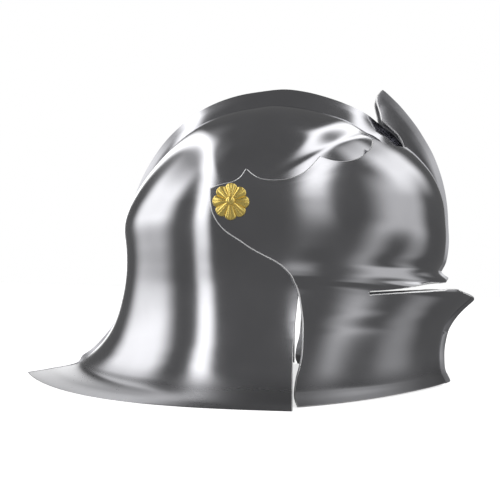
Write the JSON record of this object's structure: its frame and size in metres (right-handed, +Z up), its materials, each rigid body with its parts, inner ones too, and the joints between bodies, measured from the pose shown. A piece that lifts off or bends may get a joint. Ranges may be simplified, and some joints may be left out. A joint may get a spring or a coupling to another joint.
{
  "type": "sallet helmet",
  "caption": "Long-tailed steel sallet with a keeled bowl, a pointed pivoting visor with a sight slit, and brass rosettes at the pivots.",
  "frame": {"origin": "middle of the bounding box in plan, on the plane the rim rests on", "axes": "+X towards the face, +Y towards the wearer's left, +Z up"},
  "size_m": [0.3858, 0.215, 0.2525],
  "materials": {
    "skull_steel": "mirror polish",
    "visor_steel": "mirror polish",
    "rosette_brass": "polished",
    "rivet_brass": "polished"
  },
  "bodies": {
    "bowl": {"skull": "skull_steel", "rivet_right": "rivet_brass", "rivet_left": "rivet_brass"},
    "visor": {"visor": "visor_steel", "rosette_right": "rosette_brass", "rosette_left": "rosette_brass"}
  },
  "joints": [
    {"name": "visor_pivot", "type": "hinge", "parent": "bowl", "child": "visor", "pos_m": [-0.00719, 0, 0.13496], "axis": [0, -1, 0], "range_deg": [0, 60]}
  ]
}
